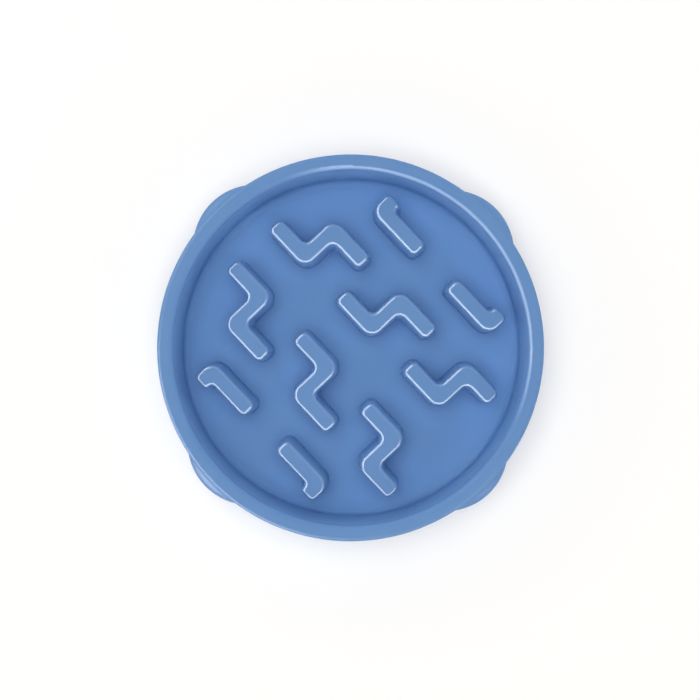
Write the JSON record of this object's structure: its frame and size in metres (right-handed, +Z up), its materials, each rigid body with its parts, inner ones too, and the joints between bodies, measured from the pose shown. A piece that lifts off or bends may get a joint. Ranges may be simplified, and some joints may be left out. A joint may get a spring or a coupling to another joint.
{
  "type": "slow feeder bowl",
  "caption": "Round slow feeder bowl for pets: a moulded basin with raised zigzag and hooked ridges on its floor, a skirt that flares into foot lobes, and push-in rubber feet.",
  "frame": {"origin": "on the table plane, under the bowl's axis, midway between the feet", "axes": "+Z up along the bowl's axis; +X along the two rows of zigzag ridges, towards the end with the shorter last arms; the feet lie on +X, +Y, -X and -Y"},
  "size_m": [0.2246, 0.2246, 0.048],
  "materials": {
    "bowl_plastic": "satin moulded polypropylene, light blue all through",
    "foot_rubber": "matt dark grey rubber"
  },
  "bodies": {
    "root": {"bowl": "bowl_plastic", "foot_1": "foot_rubber", "foot_2": "foot_rubber", "foot_3": "foot_rubber", "foot_4": "foot_rubber"}
  },
  "joints": []
}
